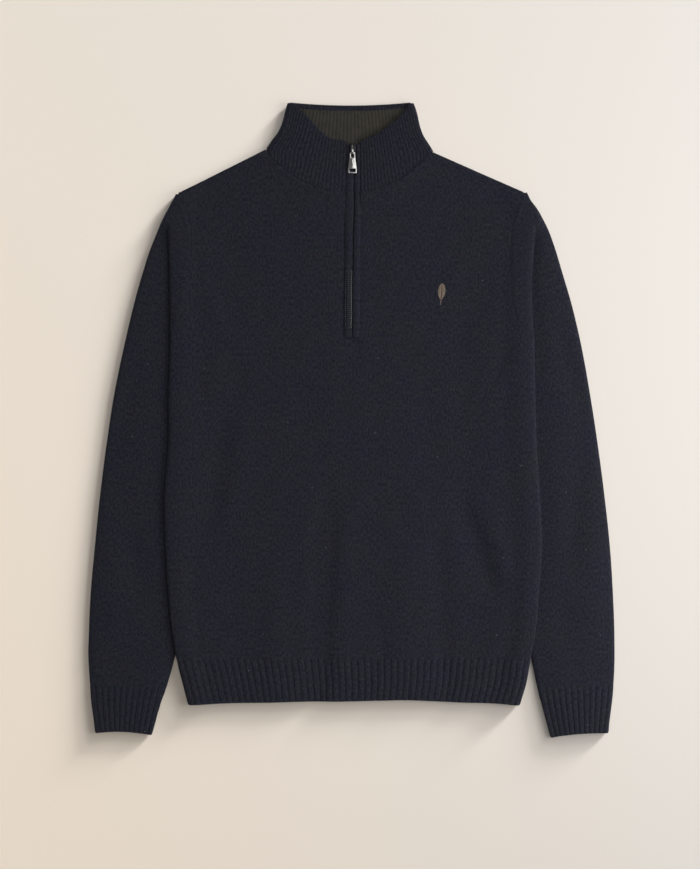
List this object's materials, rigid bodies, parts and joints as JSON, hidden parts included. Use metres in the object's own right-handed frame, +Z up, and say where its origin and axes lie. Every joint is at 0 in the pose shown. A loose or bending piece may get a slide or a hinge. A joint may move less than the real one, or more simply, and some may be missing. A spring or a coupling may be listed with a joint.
{
  "type": "quarter zip sweater",
  "caption": "Flat-laid knitted pullover with a stand collar, a short zip with a hinged pull tab, set-in sleeves and ribbed hem and cuffs.",
  "frame": {"origin": "centre of the sweater's outline, on the surface it lies on", "axes": "+Z up off the surface, +Y from hem to collar, +X towards the wearer's left sleeve"},
  "size_m": [0.6527, 0.7941, 0.0159],
  "materials": {
    "navy_wool": "soft brushed stocking stitch in dark navy wool with a faint light fleck",
    "navy_rib": "ribbed dark navy wool",
    "olive_rib": "fine ribbed olive-brown wool",
    "zip_tape": "dark twill tape",
    "zip_metal": "polished silver-coloured metal"
  },
  "bodies": {
    "garment": {"body_front": "navy_wool", "body_back": "navy_wool", "sleeve_left": "navy_wool", "sleeve_right": "navy_wool", "cuff_left": "navy_rib", "cuff_right": "navy_rib", "hem_front": "navy_rib", "hem_back": "navy_rib", "collar": "navy_rib", "collar_facing": "olive_rib", "zip_tape_left": "zip_tape", "zip_tape_right": "zip_tape", "zip_edge_left": "navy_rib", "zip_edge_right": "navy_rib", "zip_slider": "zip_metal"},
    "pull_tab": {"pull_tab": "zip_metal"}
  },
  "joints": [
    {"name": "tab_hinge", "type": "hinge", "parent": "garment", "child": "pull_tab", "pos_m": [0.00346, 0.33325, 0.011], "axis": [-1, 0, 0], "range_deg": [0, 150]}
  ]
}
